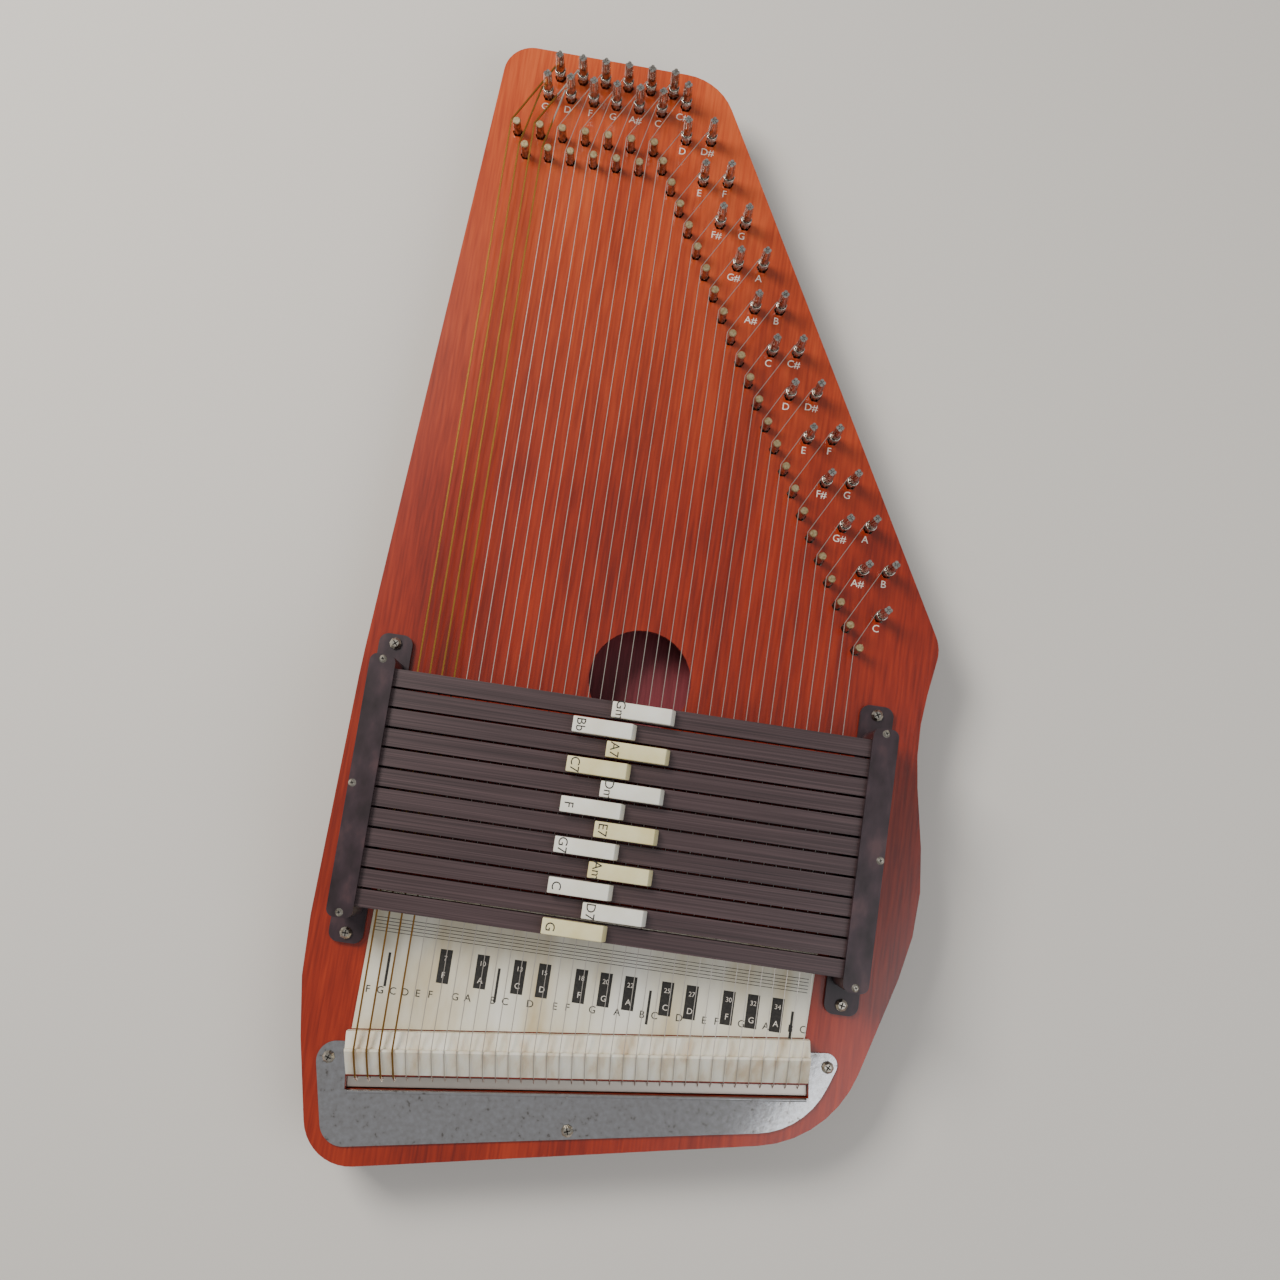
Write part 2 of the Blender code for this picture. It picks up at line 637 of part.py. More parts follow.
def make_holder(side, screw_holes):
    """One bar holder: a flanged base with a cell for each bar's spring, and the cover over the bar ends."""
    x, out, y = holder_x(side), holder_outward(side), -BARS_BELOW_HOLE
    low = TOP_Z + FIT_GAP
    floor = low + FLANGE_THICKNESS
    mesh = bmesh.new()
    put_prism(mesh, rounded_box(x, y, FLANGE_WIDTH, FLANGE_LENGTH, FLANGE_CORNER), low, floor)
    base = add(side + "_holder_base", mesh, BROWN)
    tub = rounded_box(x, y, TUB_WIDTH, TUB_LENGTH, TUB_CORNER)
    boolean(base, cutter(side + "_tub", lambda m: put_prism(m, tub, low + 0.5, BAR_TOP_Z)), "UNION")
    ledge = BAR_BOTTOM_Z - BAR_TRAVEL - FIT_GAP
    wall = x + out * (TUB_WIDTH / 2 - TUB_OUTER_WALL)
    inner = x - out * (TUB_WIDTH / 2 + CUT_OVERRUN)
    cell = x - out * (TUB_WIDTH / 2 - 1.6)
    half = BAR_WIDTH / 2 + FIT_GAP

    def slots(m):
        for k in range(len(CHORDS)):
            c = bar_y(k)
            put_prism(m, box_points(min(wall, inner), max(wall, inner), c - half, c + half), ledge, BAR_TOP_Z + CUT_OVERRUN)

    def cells(m):
        for k in range(len(CHORDS)):
            c = bar_y(k)
            box = box_points(min(wall, cell), max(wall, cell), c - SPRING_CELL / 2, c + SPRING_CELL / 2)
            put_prism(m, box, floor, ledge + CUT_OVERRUN)

    boolean(base, cutter(side + "_slots", slots), "DIFFERENCE")
    boolean(base, cutter(side + "_cells", cells), "DIFFERENCE")
    boolean(base, screw_holes, "DIFFERENCE")
    mesh = bmesh.new()
    lid = BAR_TOP_Z + FIT_GAP
    top_face, _ = put_prism(mesh, tub, lid, lid + COVER_THICKNESS)
    bmesh.ops.bevel(mesh, geom=list(top_face.edges), offset=0.6 * MM, segments=1, affect="EDGES")
    add(side + "_holder_cover", mesh, BROWN)


def make_chart():
    """The printed note chart that lies on the soundboard between the bars and the bridge."""
    left, right = -CHART_MARGIN, LAST_STRING_X + CHART_MARGIN
    gap = -BRIDGE_REAR - FIT_GAP * 2
    edge = [skewed(x / math.cos(BRIDGE_SKEW), gap) for x in (left, right)]
    mesh = bmesh.new()
    put_prism(mesh, [edge[0], edge[1], (right, CHART_TOP), (left, CHART_TOP)], TOP_Z + FIT_GAP, TOP_Z + FIT_GAP + CHART_THICKNESS)
    add("note_chart", mesh, PAPER)


def make_screw(name, x, y, seat):
    """A round-headed wood screw whose head sits at seat."""
    head = seat + FIT_GAP
    profile = (
        (SCREW_RADIUS * 0.5, TOP_Z - SCREW_LENGTH),
        (SCREW_RADIUS, TOP_Z - SCREW_LENGTH + 3),
        (SCREW_RADIUS, head),
        (SCREW_HEAD_RADIUS, head),
        (SCREW_HEAD_RADIUS, head + SCREW_HEAD_HEIGHT * 0.4),
        (SCREW_HEAD_RADIUS * 0.6, head + SCREW_HEAD_HEIGHT),
    )
    mesh = bmesh.new()
    put_turned(mesh, x, y, profile)
    add(name, mesh, STEEL)


def make_feet():
    """Three rubber feet under the back."""
    for name, x, y in FEET:
        mesh = bmesh.new()
        put_turned(mesh, x, y, ((FOOT_RADIUS * 0.85, 0), (FOOT_RADIUS, 0.8), (FOOT_RADIUS, FOOT_HEIGHT)), 16)
        add("foot_" + name, mesh, RUBBER)


for existing in list(bpy.data.objects):
    bpy.data.objects.remove(existing)

screw_cut = cutter("screw_holes_cut", fill_screw_holes)
groove_cut = cutter("groove_cut", fill_groove)
make_soundboard(screw_cut, groove_cut)
make_back()
make_rim(screw_cut, groove_cut)
make_bridge()
make_plate(screw_cut)
make_strings()
for number, (chord, tones) in enumerate(CHORDS):
    make_bar(number, chord)
    make_button(number, chord)
    make_felt(number, chord, tones.split())
for holder in ("bass", "treble"):
    make_holder(holder, screw_cut)
make_chart()
for spot, at_x, at_y in holder_screws():
    make_screw("holder_screw_" + spot, at_x, at_y, TOP_Z + FIT_GAP + FLANGE_THICKNESS)
for spot, at_x, at_y in plate_screws():
    make_screw("plate_screw_" + spot, at_x, at_y, TOP_Z + FIT_GAP + PLATE_THICKNESS)
make_feet()
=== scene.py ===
import math

import bpy
from mathutils import Matrix, Vector


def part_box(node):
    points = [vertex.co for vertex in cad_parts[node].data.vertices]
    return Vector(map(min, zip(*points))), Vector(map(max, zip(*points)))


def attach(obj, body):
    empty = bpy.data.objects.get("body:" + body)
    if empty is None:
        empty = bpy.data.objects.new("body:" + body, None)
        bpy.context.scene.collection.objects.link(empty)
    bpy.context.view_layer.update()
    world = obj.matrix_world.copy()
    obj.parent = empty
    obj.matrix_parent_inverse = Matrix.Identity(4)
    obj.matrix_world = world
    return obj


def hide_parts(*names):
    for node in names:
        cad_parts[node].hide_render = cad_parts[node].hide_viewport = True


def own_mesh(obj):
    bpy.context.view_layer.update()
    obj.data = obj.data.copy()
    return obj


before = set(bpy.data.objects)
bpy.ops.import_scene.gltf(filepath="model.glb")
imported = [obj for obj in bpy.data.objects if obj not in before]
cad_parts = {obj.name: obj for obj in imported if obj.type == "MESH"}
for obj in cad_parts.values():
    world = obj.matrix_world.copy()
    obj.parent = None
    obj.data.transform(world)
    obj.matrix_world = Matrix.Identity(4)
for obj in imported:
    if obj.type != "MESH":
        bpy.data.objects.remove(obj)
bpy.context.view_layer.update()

# The soundboard is mahogany-faced plywood, glued on the rails and blocks.
# Its glossy lacquer is dark red, with the grain along the strings; painted light makes it lighter and orange
# toward the pin end, fading to the darker red toward the tail.
MM = 0.001
PORE_SPACING = 1.4 * MM
PORE_STRETCH = 18
PORE_SCALE = (1 / PORE_SPACING, 1 / (PORE_SPACING * PORE_STRETCH), 300)
CLOUD_SCALE = (38, 6, 20)
PORE_SHARE = 0.55
CLOUD_SHARE = 0.45
MIX_FACTOR, MIX_FIRST, MIX_SECOND, MIX_RESULT = 0, 6, 7, 2
# Between these heights painted light brightens the wood toward the pin end.
SHADED_TAIL_Y = 0.05
LIT_PIN_Y = 0.31


def srgb(code):
    """A hex colour as linear RGBA."""
    values = [int(code[i:i + 2], 16) / 255 for i in (0, 2, 4)]
    return [v / 12.92 if v <= 0.04045 else ((v + 0.055) / 1.055) ** 2.4 for v in values] + [1.0]


def new_finish(name, roughness, metallic=0.0):
    """A material, its Principled node and its node tree."""
    material = bpy.data.materials.new(name)
    material.use_nodes = True
    tree = material.node_tree
    shader = tree.nodes["Principled BSDF"]
    shader.inputs["Roughness"].default_value = roughness
    shader.inputs["Metallic"].default_value = metallic
    return material, shader, tree


def add_node(tree, kind, links=(), **settings):
    """Adds a node; settings name its properties or inputs, links are (input, source socket) pairs."""
    made = tree.nodes.new(kind)
    for key, value in settings.items():
        if hasattr(made, key):
            setattr(made, key, value)
        else:
            made.inputs[key.replace("_", " ")].default_value = value
    for key, source in links:
        tree.links.new(source, made.inputs[key])
    return made


def feed(tree, target, value):
    """Gives an input a socket to follow, or a fixed value."""
    if isinstance(value, bpy.types.NodeSocket):
        tree.links.new(value, target)
    else:
        target.default_value = value


def place(tree, scale):
    """Object coordinates stretched by scale, for a pattern sized in metres."""
    where = add_node(tree, "ShaderNodeTexCoord")
    mapped = add_node(tree, "ShaderNodeMapping", [("Vector", where.outputs["Object"])], Scale=scale)
    return mapped.outputs["Vector"]


def coordinate(tree, axis):
    """One world coordinate of a point, as a number."""
    parts = add_node(tree, "ShaderNodeSeparateXYZ", [("Vector", place(tree, (1, 1, 1)))])
    return parts.outputs[axis]


def noise(tree, scale, detail):
    """A cloudy pattern from 0 to 1."""
    made = add_node(tree, "ShaderNodeTexNoise", [("Vector", place(tree, scale))], Scale=1.0, Detail=detail)
    return made.outputs["Fac"]


def calculate(tree, operation, *values):
    """A math node over sockets and numbers."""
    made = add_node(tree, "ShaderNodeMath", operation=operation)
    for target, value in zip(made.inputs, values):
        feed(tree, target, value)
    return made.outputs[0]


def ramp(tree, source, stops):
    """A colour ramp over source from (position, hex) stops."""
    made = add_node(tree, "ShaderNodeValToRGB", [("Fac", source)])
    ends = made.color_ramp.elements
    ends[0].position, ends[0].color = stops[0][0], srgb(stops[0][1])
    ends[1].position, ends[1].color = stops[-1][0], srgb(stops[-1][1])
    for position, code in stops[1:-1]:
        made.color_ramp.elements.new(position).color = srgb(code)
    return made.outputs["Color"]


def mix(tree, factor, first, second):
    """A colour between first and second."""
    made = add_node(tree, "ShaderNodeMix", data_type="RGBA")
    for index, value in ((MIX_FACTOR, factor), (MIX_FIRST, first), (MIX_SECOND, second)):
        feed(tree, made.inputs[index], value)
    return made.outputs[MIX_RESULT]


def tint(tree, shader, colour):
    """Lets a colour socket set the base colour."""
    tree.links.new(colour, shader.inputs["Base Color"])


def bump(tree, shader, height, strength, depth):
    """Bends the light by a height pattern, depth in millimetres."""
    made = add_node(tree, "ShaderNodeBump", [("Height", height)], Strength=strength, Distance=depth * MM)
    tree.links.new(made.outputs["Normal"], shader.inputs["Normal"])


def mottled(name, roughness, scale, detail, stops, metallic=0.0):
    """A finish whose colour follows one cloudy pattern; the pattern comes back last, for a bump."""
    material, shader, tree = new_finish(name, roughness, metallic)
    pattern = noise(tree, scale, detail)
    tint(tree, shader, ramp(tree, pattern, stops))
    return material, shader, tree, pattern


def even(per_metre):
    """The same pattern scale along each axis."""
    return (per_metre, per_metre, per_metre)


def dress(names, material):
    """Gives CAD nodes this material."""
    for name in names:
        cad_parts[name].data.materials.clear()
        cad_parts[name].data.materials.append(material)


def grain(tree, stops):
    """Wood grain along Y: long narrow streaks over broad clouds, and the streaks alone."""
    fine = noise(tree, PORE_SCALE, 6.0)
    broad = calculate(tree, "MULTIPLY", noise(tree, CLOUD_SCALE, 3.0), CLOUD_SHARE)
    both = calculate(tree, "MULTIPLY_ADD", fine, PORE_SHARE, broad)
    return ramp(tree, both, stops), fine


# Red mahogany under a glossy clear coat.
lacquered_mahogany, shader, tree = new_finish("lacquered_mahogany", 0.24)
streaks, pores = grain(tree, ((0.34, "6c1707"), (0.5, "8a240c"), (0.66, "9f3011")))
lit_grain, _ = grain(tree, ((0.34, "a53a14"), (0.5, "bf4c1d"), (0.66, "d05f2a")))
# Painted light: the lit orange grain at the pin end fades into the shaded dark red grain toward the tail.
along = add_node(
    tree, "ShaderNodeMapRange", [("Value", coordinate(tree, "Y"))],
    From_Min=SHADED_TAIL_Y, From_Max=LIT_PIN_Y)
tint(tree, shader, mix(tree, along.outputs[0], streaks, lit_grain))
shader.inputs["Coat Weight"].default_value = 0.4
shader.inputs["Coat Roughness"].default_value = 0.12
bump(tree, shader, pores, 0.12, 0.15)
dress(["soundboard"], lacquered_mahogany)

# The rails and the tail block are hardwood under dark brown lacquer.
# They are glued in a ring under the soundboard.
DARK_WOOD = ((0.35, "2b0d07"), (0.55, "4a170b"), (0.7, "5e2413"))
stained_side, shader, tree = new_finish("stained_side_wood", 0.34)
streaks, pores = grain(tree, DARK_WOOD)
tint(tree, shader, streaks)
shader.inputs["Coat Weight"].default_value = 0.4
bump(tree, shader, pores, 0.15, 0.15)
dress(["bass_rail", "treble_rail", "tail_block"], stained_side)

# The back panel is the same dark wood outside, glued to the rails and blocks.
# Its inner face, seen through the sound hole, is stained dull red.
FACE_DEPTH = 0.1 * MM
red_inside, shader, tree = new_finish("red_stained_back", 0.5)
streaks, _ = grain(tree, DARK_WOOD)
stained, _ = grain(tree, ((0.35, "6f2229"), (0.55, "8a323a"), (0.7, "9c4148")))
inner_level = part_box("back_panel")[1].z - FACE_DEPTH
inside = calculate(tree, "GREATER_THAN", coordinate(tree, "Z"), inner_level)
tint(tree, shader, mix(tree, inside, streaks, stained))
dress(["back_panel"], red_inside)

# The pin block is hardwood that holds both rows of nickel-plated steel pins.
# Above the soundboard only the pins show, so there the finish is blotched plating.
TOP_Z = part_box("soundboard")[1].z
BOARD_DEPTH = 5 * MM
pin_metal, shader, tree = new_finish("nickel_plated_pins_in_wood", 0.24)
streaks, _ = grain(tree, DARK_WOOD)
above = calculate(tree, "GREATER_THAN", coordinate(tree, "Z"), TOP_Z - BOARD_DEPTH)
plating = ramp(tree, noise(tree, (900, 900, 400), 3.0), ((0.35, "6e665c"), (0.55, "a9a194"), (0.7, "cfc9bd")))
tint(tree, shader, mix(tree, above, streaks, plating))
tree.links.new(above, shader.inputs["Metallic"])
dress(["pin_block"], pin_metal)

# The strings are steel wire; the four lowest are wound with bronze.
# All are fixed to one steel bar in the groove behind the bridge.
chart_low, chart_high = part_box("note_chart")
STRING_PITCH = 6.35 * MM
CHART_MARGIN = 3.1 * MM
PRINT_X = chart_low.x + CHART_MARGIN
WOUND_END_X = PRINT_X + 3.7 * STRING_PITCH
BAR_END_Z = TOP_Z + 2 * MM
WINDING_PITCH = 0.5 * MM
wire, shader, tree = new_finish("steel_and_bronze_wire", 0.3, 1.0)
plain = calculate(tree, "GREATER_THAN", coordinate(tree, "X"), WOUND_END_X)
sunk = calculate(tree, "LESS_THAN", coordinate(tree, "Z"), BAR_END_Z)
turns = add_node(
    tree, "ShaderNodeTexWave", [("Vector", place(tree, (0, 1, 0)))],
    wave_type="BANDS", bands_direction="Y", Scale=1 / WINDING_PITCH / 2)
bronze = ramp(tree, turns.outputs["Fac"], ((0.2, "5d3d16"), (0.8, "c09046")))
steel_part = calculate(tree, "MAXIMUM", plain, sunk)
tint(tree, shader, mix(tree, steel_part, bronze, srgb("cfc6ba")))
dress(["string_set"], wire)

# The bridge is moulded cream plastic, yellowed and blotched with age.
# It stands on the soundboard, and the strings cross its crest.
CREAM_STOPS = ((0.3, "cdb89a"), (0.5, "e6dcc6"), (0.7, "efe9da"))
aged_cream, shader, tree, blotch = mottled("aged_cream_plastic", 0.32, (160, 60, 60), 4.0, CREAM_STOPS)
shader.inputs["Subsurface Weight"].default_value = 0.05
bump(tree, shader, blotch, 0.1, 0.2)
dress(["bridge"], aged_cream)

# The tail plate is stamped steel, chromed, bright but pitted with age.
# It is screwed down around the bridge and the groove.
CHROME_STOPS = ((0.28, "8b8681"), (0.36, "b9b7b6"), (0.7, "c8c8ca"))
worn_chrome, shader, tree, pits = mottled("worn_chrome", 0.09, even(420), 6.0, CHROME_STOPS, 1.0)
bump(tree, shader, pits, 0.12, 0.1)
dress(["tailpiece_plate"], worn_chrome)

# The chord bars are aluminium extrusions in purple-brown paint, with drawing lines along them.
# Their ends stand on springs in the two bar holders.
BAR_PREFIX = "chord_bar_"
LINE_SPACING = 0.7 * MM
PAINT_STOPS = ((0.3, "2e2021"), (0.5, "3f2e2f"), (0.72, "523f40"))
bar_paint, shader, tree, lines = mottled(
    "brown_painted_extrusion", 0.4, (9, 1 / LINE_SPACING, 1 / LINE_SPACING), 4.0, PAINT_STOPS)
bump(tree, shader, lines, 0.25, 0.15)


def from_pin_end(name):
    """Sorts chords by their bars, the one nearest the pins first."""
    return -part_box(BAR_PREFIX + name)[0].y


CHORDS = [name[len(BAR_PREFIX):] for name in sorted(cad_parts) if name.startswith(BAR_PREFIX)]
CHORDS.sort(key=from_pin_end)
dress([BAR_PREFIX + name for name in CHORDS], bar_paint)

# Each button is a cream plastic cap glued to its bar, some whiter and some more yellow.
# Its edges are rounded, and its treble end slopes.
YELLOWED = ("a_seventh", "c_seventh", "e_seventh", "a_minor", "g_major")
END_SLOPE = 2.3 * MM
CAP_ROUNDING = 0.5 * MM
SMOOTH_ANGLE = math.radians(40)


def clear_selection():
    """Deselects everything."""
    bpy.ops.object.select_all(action="DESELECT")


def button_finish(name, pale, deep):
    """Cream plastic between two shades."""
    material, shader, _, _ = mottled(name, 0.28, even(70), 3.0, ((0.3, deep), (0.7, pale)))
    shader.inputs["Subsurface Weight"].default_value = 0.05
    return material


white_cap = button_finish("white_button_plastic", "f4f0e4", "e6dfcc")
yellow_cap = button_finish("yellowed_button_plastic", "f1e6b8", "e0cf94")
for name in CHORDS:
    low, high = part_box("button_" + name)
    clear_selection()
    bpy.ops.mesh.primitive_cube_add(size=1, location=(low + high) / 2)
    cap = bpy.context.object
    cap.name = "button_cap_" + name
    cap.scale = high - low
    bpy.ops.object.transform_apply(location=True, rotation=False, scale=True)
    for vert in cap.data.vertices:
        if vert.co.x > high.x - MM and vert.co.z > high.z - MM:
            vert.co.x -= END_SLOPE
    rounding = cap.modifiers.new("rounding", "BEVEL")
    rounding.width = CAP_ROUNDING
    rounding.segments = 3
    bpy.ops.object.modifier_apply(modifier="rounding")
    bpy.ops.object.shade_smooth_by_angle(angle=SMOOTH_ANGLE)
    cap.data.materials.append(yellow_cap if name in YELLOWED else white_cap)
    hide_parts("button_" + name)
    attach(cap, "bar_" + name)

# The felts are red wool, glued under the bars and notched over the strings that ring.
# Their nap is coarser here than in life so that it shows.
FELT_STOPS = ((0.3, "4a0d12"), (0.7, "8a2027"))
red_felt, shader, tree, nap = mottled("red_wool_felt", 0.95, even(1500), 4.0, FELT_STOPS)
bump(tree, shader, nap, 0.6, 0.3)
dress(["felt_" + name for name in CHORDS], red_felt)

# The bar holders are dark brown moulded parts, polished by handling.
# Each has a flanged base screwed to the soundboard and a cover over the bar ends.
MOULDING_STOPS = ((0.3, "1d1214"), (0.55, "34252a"), (0.75, "4d3638"))
holder_brown, shader, tree, marks = mottled("dark_brown_moulding", 0.33, (110, 60, 110), 6.0, MOULDING_STOPS)
bump(tree, shader, marks, 0.15, 0.2)
dress([name for name in sorted(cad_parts) if "_holder_" in name and "screw" not in name], holder_brown)

# The note chart is printed card, browned with age, lying on the soundboard under the strings.
# Its keys, staff lines and dividers are black ink, made as thin raised patches.
CARD_STOPS = ((0.28, "c9b68c"), (0.5, "e2dcc6"), (0.7, "efecdf"))
aged_card, _, _, _ = mottled("aged_printed_card", 0.55, (45, 14, 20), 5.0, CARD_STOPS)
dress(["note_chart"], aged_card)
# Black printing ink, slightly worn.
INK_STOPS = ((0.3, "15130f"), (0.7, "2e2a24"))
black_ink, _, _, _ = mottled("black_printing_ink", 0.6, even(800), 3.0, INK_STOPS)
HOLE_Y = chart_high.y + 126 * MM
KEY_Y = HOLE_Y - 159.5 * MM
KEYS = (6, 9, 12, 14, 17, 19, 21, 24, 26, 29, 31, 33)
KEY_SIZE = (6.2 * MM, 17 * MM)
STAFF_TOP = 139.5
STAFF_STEP = 1.7
STAFF_SIZE = (224 * MM, 0.3 * MM)
DIVIDERS = (9.7, 66.0, 144.0, 217.5)
DIVIDER_Y = HOLE_Y - 165 * MM
DIVIDER_SIZE = (1.3 * MM, 17 * MM)
INK_RISE = 0.08 * MM
INK_THICKNESS = 0.05 * MM


def ink(name, x, y, size):
    """A printed patch on the chart, centred at x, y."""
    clear_selection()
    bpy.ops.mesh.primitive_plane_add(size=1, location=(x, y, chart_high.z + INK_RISE))
    patch = bpy.context.object
    patch.name = name
    patch.scale = (*size, 1)
    bpy.ops.object.transform_apply(location=True, rotation=False, scale=True)
    patch.data.materials.append(black_ink)
    return patch


middle_x = (chart_low.x + chart_high.x) / 2
patches = [ink(f"key_{n}", PRINT_X + key * STRING_PITCH, KEY_Y, KEY_SIZE) for n, key in enumerate(KEYS)]
patches += [ink(f"staff_{n}", middle_x, HOLE_Y - (STAFF_TOP + STAFF_STEP * n) * MM, STAFF_SIZE) for n in range(5)]
patches += [ink(f"divider_{n}", PRINT_X + x * MM, DIVIDER_Y, DIVIDER_SIZE) for n, x in enumerate(DIVIDERS)]
clear_selection()
for patch in patches:
    patch.select_set(True)
bpy.context.view_layer.objects.active = patches[0]
bpy.ops.object.join()
print_layer = bpy.context.object
print_layer.name = "chart_print"
thick = print_layer.modifiers.new("ink", "SOLIDIFY")
thick.thickness = INK_THICKNESS
bpy.ops.object.modifier_apply(modifier="ink")
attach(print_layer, "body")

# The holder and plate screws are nickel-plated steel with round heads.
# They are driven into the wood through the flanges and the plate.
NICKEL_STOPS = ((0.3, "8d8577"), (0.7, "d3cdc0"))
screw_nickel, _, _, _ = mottled("nickel_plated_screw", 0.25, even(600), 3.0, NICKEL_STOPS, 1.0)
SCREWS = [name for name in sorted(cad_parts) if "_screw_" in name]
dress(SCREWS, screw_nickel)

# Three small nickel-plated cover screws hold each cover down, at its ends and its middle.
# A thin dark cross lies on every screw head, where the driver fits, as painted shade for the slot's recess.
ORIGIN_X = -119.78 * MM
ORIGIN_Y = -40.2 * MM
LAST_STRING = 222.25 * MM
HOLDER_X = (ORIGIN_X - 15 * MM, ORIGIN_X + LAST_STRING + 18 * MM)
HOLDER_Y = ORIGIN_Y - 74.75 * MM
COVER_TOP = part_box("bass_holder_cover")[1].z
COVER_SCREW_REACH = 63 * MM
COVER_SCREW_OUT = 4.5 * MM
COVER_HEAD = (2.0 * MM, 0.9 * MM, 24, 0.55)
COVER_CROSS = (1.7 * MM, 0.4 * MM, 0.12 * MM)
COVER_CROSS_RISE = 0.88 * MM
COVER_CROSS_TURN = 0.4
WOOD_SCREW_CROSS = (3.2 * MM, 0.6 * MM, 0.12 * MM)
WOOD_SCREW_TURN = 0.7
QUARTER = math.pi / 2
# Painted shade for the driver crosses, dark where the slot's recess would be shaded.
SLOT_SHADE_STOPS = ((0.3, "0c0a09"), (0.7, "221c18"))
painted_slot_shade, _, _, _ = mottled("grime_in_screw_slots", 0.9, even(900), 2.0, SLOT_SHADE_STOPS)


def join(pieces, name, material, body="body"):
    """Joins objects into one piece at the origin, and hangs it on a body."""
    clear_selection()
    for piece in pieces:
        piece.select_set(True)
    bpy.context.view_layer.objects.active = pieces[0]
    if len(pieces) > 1:
        bpy.ops.object.join()
    whole = bpy.context.view_layer.objects.active
    bpy.ops.object.transform_apply(location=True, rotation=True, scale=True)
    whole.name = name
    whole.data.materials.clear()
    whole.data.materials.append(material)
    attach(whole, body)
    return whole


def turned(x, y, low, radius, height, sides=24, top=1.0):
    """A round post whose top is narrowed to this share of its radius."""
    clear_selection()
    bpy.ops.mesh.primitive_cone_add(
        vertices=sides, radius1=radius, radius2=radius * top, depth=height, location=(x, y, low + height / 2))
    bpy.ops.object.shade_smooth_by_angle(angle=SMOOTH_ANGLE)
    return bpy.context.object


def cross(x, y, z, size, turn):
    """Two crossed bars around x, y, z."""
    bars = []
    for angle in (turn, turn + QUARTER):
        clear_selection()
        bpy.ops.mesh.primitive_cube_add(size=1, location=(x, y, z), rotation=(0, 0, angle))
        bpy.context.object.scale = size
        bars.append(bpy.context.object)
    return bars


heads = []
for side, x in zip((-1, 1), HOLDER_X):
    for dx, dy in ((0, COVER_SCREW_REACH), (COVER_SCREW_OUT * side, 0), (0, -COVER_SCREW_REACH)):
        heads.append((x + dx, HOLDER_Y + dy))
join([turned(x, y, COVER_TOP, *COVER_HEAD) for x, y in heads], "cover_screws", screw_nickel)
# The slots are flat dark crosses of painted shade on the heads, not cut recesses.
slots = []
for x, y in heads:
    slots += cross(x, y, COVER_TOP + COVER_CROSS_RISE, COVER_CROSS, COVER_CROSS_TURN)
for number, name in enumerate(SCREWS):
    low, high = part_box(name)
    middle = (low + high) / 2
    slots += cross(middle.x, middle.y, high.z, WOOD_SCREW_CROSS, number * WOOD_SCREW_TURN)
join(slots, "screw_slots", painted_slot_shade)

# Two steel springs, wound from wire, stand in cells in the bar holders under each chord bar.
# They push the bar back up when the button is let go, and squash as it goes down.
SPRING_FLOOR = 40.3 * MM
SPRING_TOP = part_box(BAR_PREFIX + CHORDS[0])[0].z - 0.2 * MM
SPRING_INSET = 0.9 * MM
SPRING_RADIUS = 2.6 * MM
SPRING_WIRE = 0.35 * MM
SPRING_TURNS = 7
STEPS_PER_TURN = 14
SPRING_STOPS = ((0.3, "77716a"), (0.7, "aaa49c"))
spring_steel, _, _, _ = mottled("spring_steel", 0.35, even(700), 2.0, SPRING_STOPS, 1.0)


def coil(x, y, low, high, radius, wire_radius, turn_count, name):
    """A helix of round wire between two heights."""
    curve = bpy.data.curves.new(name, "CURVE")
    curve.dimensions = "3D"
    curve.bevel_depth = wire_radius
    curve.bevel_resolution = 1
    curve.use_fill_caps = True
    spline = curve.splines.new("POLY")
    steps = turn_count * STEPS_PER_TURN
    spline.points.add(steps)
    for step in range(steps + 1):
        angle = step * math.tau / STEPS_PER_TURN
        z = low + wire_radius + (high - low - 2 * wire_radius) * step / steps
        spline.points[step].co = (x + radius * math.cos(angle), y + radius * math.sin(angle), z, 1)
    made = bpy.data.objects.new(name, curve)
    bpy.context.scene.collection.objects.link(made)
    clear_selection()
    made.select_set(True)
    bpy.context.view_layer.objects.active = made
    bpy.ops.object.convert(target="MESH")
    return bpy.context.object


for name in CHORDS:
    low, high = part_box(BAR_PREFIX + name)
    y = (low.y + high.y) / 2
    for side, x in (("bass", HOLDER_X[0] + SPRING_INSET), ("treble", HOLDER_X[1] - SPRING_INSET)):
        helix = coil(x, y, SPRING_FLOOR, SPRING_TOP, SPRING_RADIUS, SPRING_WIRE, SPRING_TURNS, "spring")
        spring = join([helix], f"return_spring_{side}_{name}", spring_steel)
        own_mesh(spring)

# The tuning pins are driven into the pin block and end in bright crowned heads of four petals.
# Each string is wound six times round its own pin.
STRINGS = range(1, 37)
FIRST_DIAGONAL = 14
LONE_STRING = 13
LONE_PIN = (16.8, 322.4)
ODD_PIN = (21.6, 328.3)
EVEN_PIN = (10.35, 316.5)
PAIR_OFFSETS = (13.35, 20.8)
PAIR_Y = 302.5
PAIR_STEP = 22.7
PAIR_RISE = 1.6
PIN_TOP = TOP_Z + 23.6 * MM
PETAL_REACH = 1.15 * MM
PETAL_RADIUS = 1.3 * MM
PETAL_DROP = 7 * MM
PETAL_HEIGHT = 7.6 * MM
WINDING_LEVELS = (TOP_Z + 5 * MM, TOP_Z + 9 * MM)
WINDING_RADIUS = 2.75 * MM
WINDING_WIRE = 0.3 * MM
WINDING_TURNS = 6


def tuning_pin(i):
    """Where the tuning pin of a string stands."""
    if i >= FIRST_DIAGONAL:
        pair, right = divmod(i - FIRST_DIAGONAL, 2)
        x, y = PAIR_OFFSETS[right], PAIR_Y - PAIR_STEP * pair + PAIR_RISE * right
    elif i == LONE_STRING:
        x, y = LONE_PIN
    else:
        x, y = ODD_PIN if i % 2 else EVEN_PIN
    return ORIGIN_X + (i - 1) * STRING_PITCH + x * MM, ORIGIN_Y + y * MM


